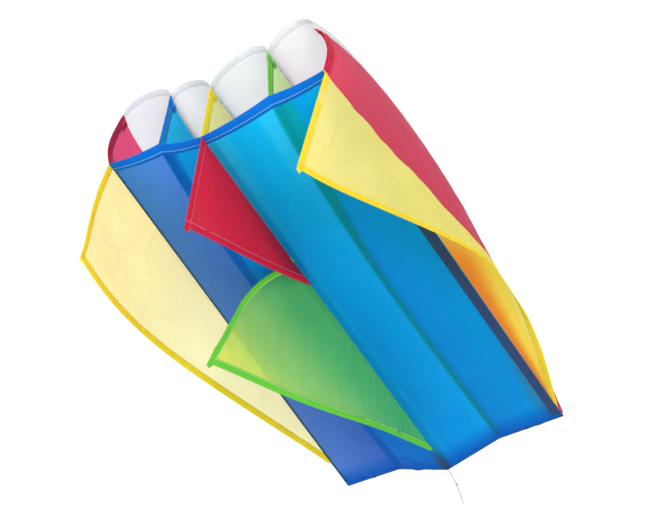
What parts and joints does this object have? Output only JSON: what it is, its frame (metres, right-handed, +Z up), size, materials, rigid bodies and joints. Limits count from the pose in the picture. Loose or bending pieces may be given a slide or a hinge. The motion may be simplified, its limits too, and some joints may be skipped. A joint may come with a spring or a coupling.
{
  "type": "parafoil kite",
  "caption": "Frameless parafoil kite with open-mouthed air cells between two skins, triangular flares below, and a short tail cord.",
  "frame": {"origin": "mouth end of the centre seam of the lower skin", "axes": "+X across the span towards the right edge, +Y from the open mouths to the trailing edge, +Z up through the canopy"},
  "size_m": [0.4916, 0.8346, 0.3877],
  "materials": {
    "sky_blue_ripstop": "soft satin",
    "dark_blue_hem": "soft satin",
    "white_ripstop": "soft satin",
    "crimson_ripstop": "soft satin",
    "light_blue_ripstop": "soft satin",
    "yellow_ripstop": "soft satin",
    "green_ripstop": "soft satin",
    "navy_tape": "matt",
    "teal_tape": "matt",
    "olive_tape": "matt",
    "white_line": "matt"
  },
  "bodies": {
    "canopy": {"lower_panel_1": "sky_blue_ripstop", "lower_mouth_hem_1": "dark_blue_hem", "upper_panel_1": "white_ripstop", "upper_mouth_hem_1": "white_ripstop", "trailing_hem_1": "dark_blue_hem", "lower_panel_2": "sky_blue_ripstop", "lower_mouth_hem_2": "dark_blue_hem", "upper_panel_2": "white_ripstop", "upper_mouth_hem_2": "white_ripstop", "trailing_hem_2": "dark_blue_hem", "lower_panel_3": "sky_blue_ripstop", "lower_mouth_hem_3": "dark_blue_hem", "upper_panel_3": "white_ripstop", "upper_mouth_hem_3": "white_ripstop", "trailing_hem_3": "dark_blue_hem", "lower_panel_4": "sky_blue_ripstop", "lower_mouth_hem_4": "dark_blue_hem", "upper_panel_4": "white_ripstop", "upper_mouth_hem_4": "white_ripstop", "trailing_hem_4": "dark_blue_hem", "left_outer_rib": "crimson_ripstop", "left_outer_rib_mouth_hem": "crimson_ripstop", "left_inner_rib": "light_blue_ripstop", "left_inner_rib_mouth_hem": "light_blue_ripstop", "centre_rib": "yellow_ripstop", "centre_rib_mouth_hem": "yellow_ripstop", "right_inner_rib": "green_ripstop", "right_inner_rib_mouth_hem": "green_ripstop", "right_outer_rib": "crimson_ripstop", "right_outer_rib_mouth_hem": "crimson_ripstop", "left_edge_seam_tape": "navy_tape", "left_inner_seam_tape": "dark_blue_hem", "centre_seam_tape": "olive_tape", "right_inner_seam_tape": "teal_tape", "right_edge_seam_tape": "navy_tape", "tail_loop": "white_line", "tail_cord": "white_line", "tail_knot": "white_line"},
    "left_flare": {"left_flare": "yellow_ripstop", "left_flare_front_hem": "yellow_ripstop", "left_flare_lower_hem": "yellow_ripstop", "left_flare_bridle_tab": "yellow_ripstop"},
    "front_keel": {"front_keel": "crimson_ripstop", "front_keel_front_hem": "crimson_ripstop", "front_keel_lower_hem": "crimson_ripstop", "front_keel_bridle_tab": "crimson_ripstop"},
    "rear_keel": {"rear_keel": "green_ripstop", "rear_keel_front_hem": "green_ripstop", "rear_keel_lower_hem": "green_ripstop", "rear_keel_bridle_tab": "green_ripstop"},
    "right_flare": {"right_flare": "yellow_ripstop", "right_flare_front_hem": "yellow_ripstop", "right_flare_lower_hem": "yellow_ripstop", "right_flare_bridle_tab": "yellow_ripstop"}
  },
  "joints": [
    {"name": "left_flare_swing", "type": "hinge", "parent": "canopy", "child": "left_flare", "pos_m": [-0.158, 0, 0.034], "axis": [0.0437, -0.999, 0], "range_deg": [-35, 18]},
    {"name": "front_keel_swing", "type": "hinge", "parent": "canopy", "child": "front_keel", "pos_m": [0, 0, 0], "axis": [0, -1, 0], "range_deg": [0, 22]},
    {"name": "rear_keel_swing", "type": "hinge", "parent": "canopy", "child": "rear_keel", "pos_m": [0, 0, 0], "axis": [0, -1, 0], "range_deg": [-12, 0]},
    {"name": "right_flare_swing", "type": "hinge", "parent": "canopy", "child": "right_flare", "pos_m": [0.188, 0, 0.032], "axis": [-0.035, -0.9994, -0.005], "range_deg": [-25, 15]}
  ]
}
